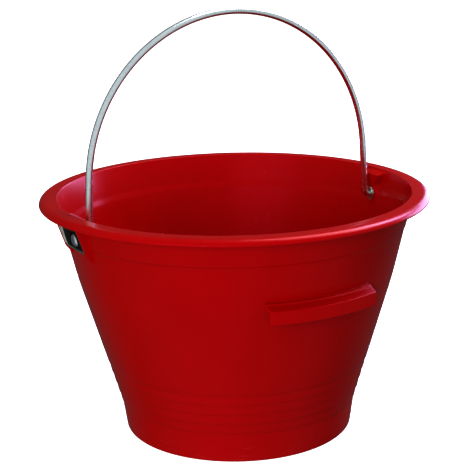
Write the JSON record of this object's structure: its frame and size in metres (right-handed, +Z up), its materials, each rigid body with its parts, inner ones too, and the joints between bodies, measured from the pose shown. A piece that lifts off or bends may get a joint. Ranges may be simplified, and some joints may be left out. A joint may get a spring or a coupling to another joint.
{
  "type": "wash bucket",
  "caption": "Flared red plastic bucket with a flat rolled rim, stepped rings, a finger grip for tipping and a swinging galvanised wire handle.",
  "frame": {"origin": "centre of the foot ring, on the surface that the bucket stands on", "axes": "+Z up along the bucket's axis, X along the bail's hinge axis, -Y towards the finger grip"},
  "size_m": [0.34, 0.34, 0.3708],
  "materials": {
    "red_plastic": "glossy moulded polyethylene",
    "galvanised_wire": "bright galvanised wire",
    "zinc_plate": "zinc-plated pressed steel"
  },
  "bodies": {
    "bucket": {"bucket_body": "red_plastic", "ear_plate_left": "zinc_plate", "ear_plate_right": "zinc_plate", "pivot_washer_left": "zinc_plate", "pivot_washer_right": "zinc_plate"},
    "bail": {"bail_handle": "galvanised_wire"}
  },
  "joints": [
    {"name": "bail_swing", "type": "hinge", "parent": "bucket", "child": "bail", "pos_m": [0, 0, 0.19], "axis": [1, 0, 0], "range_deg": [-73, 73]}
  ]
}
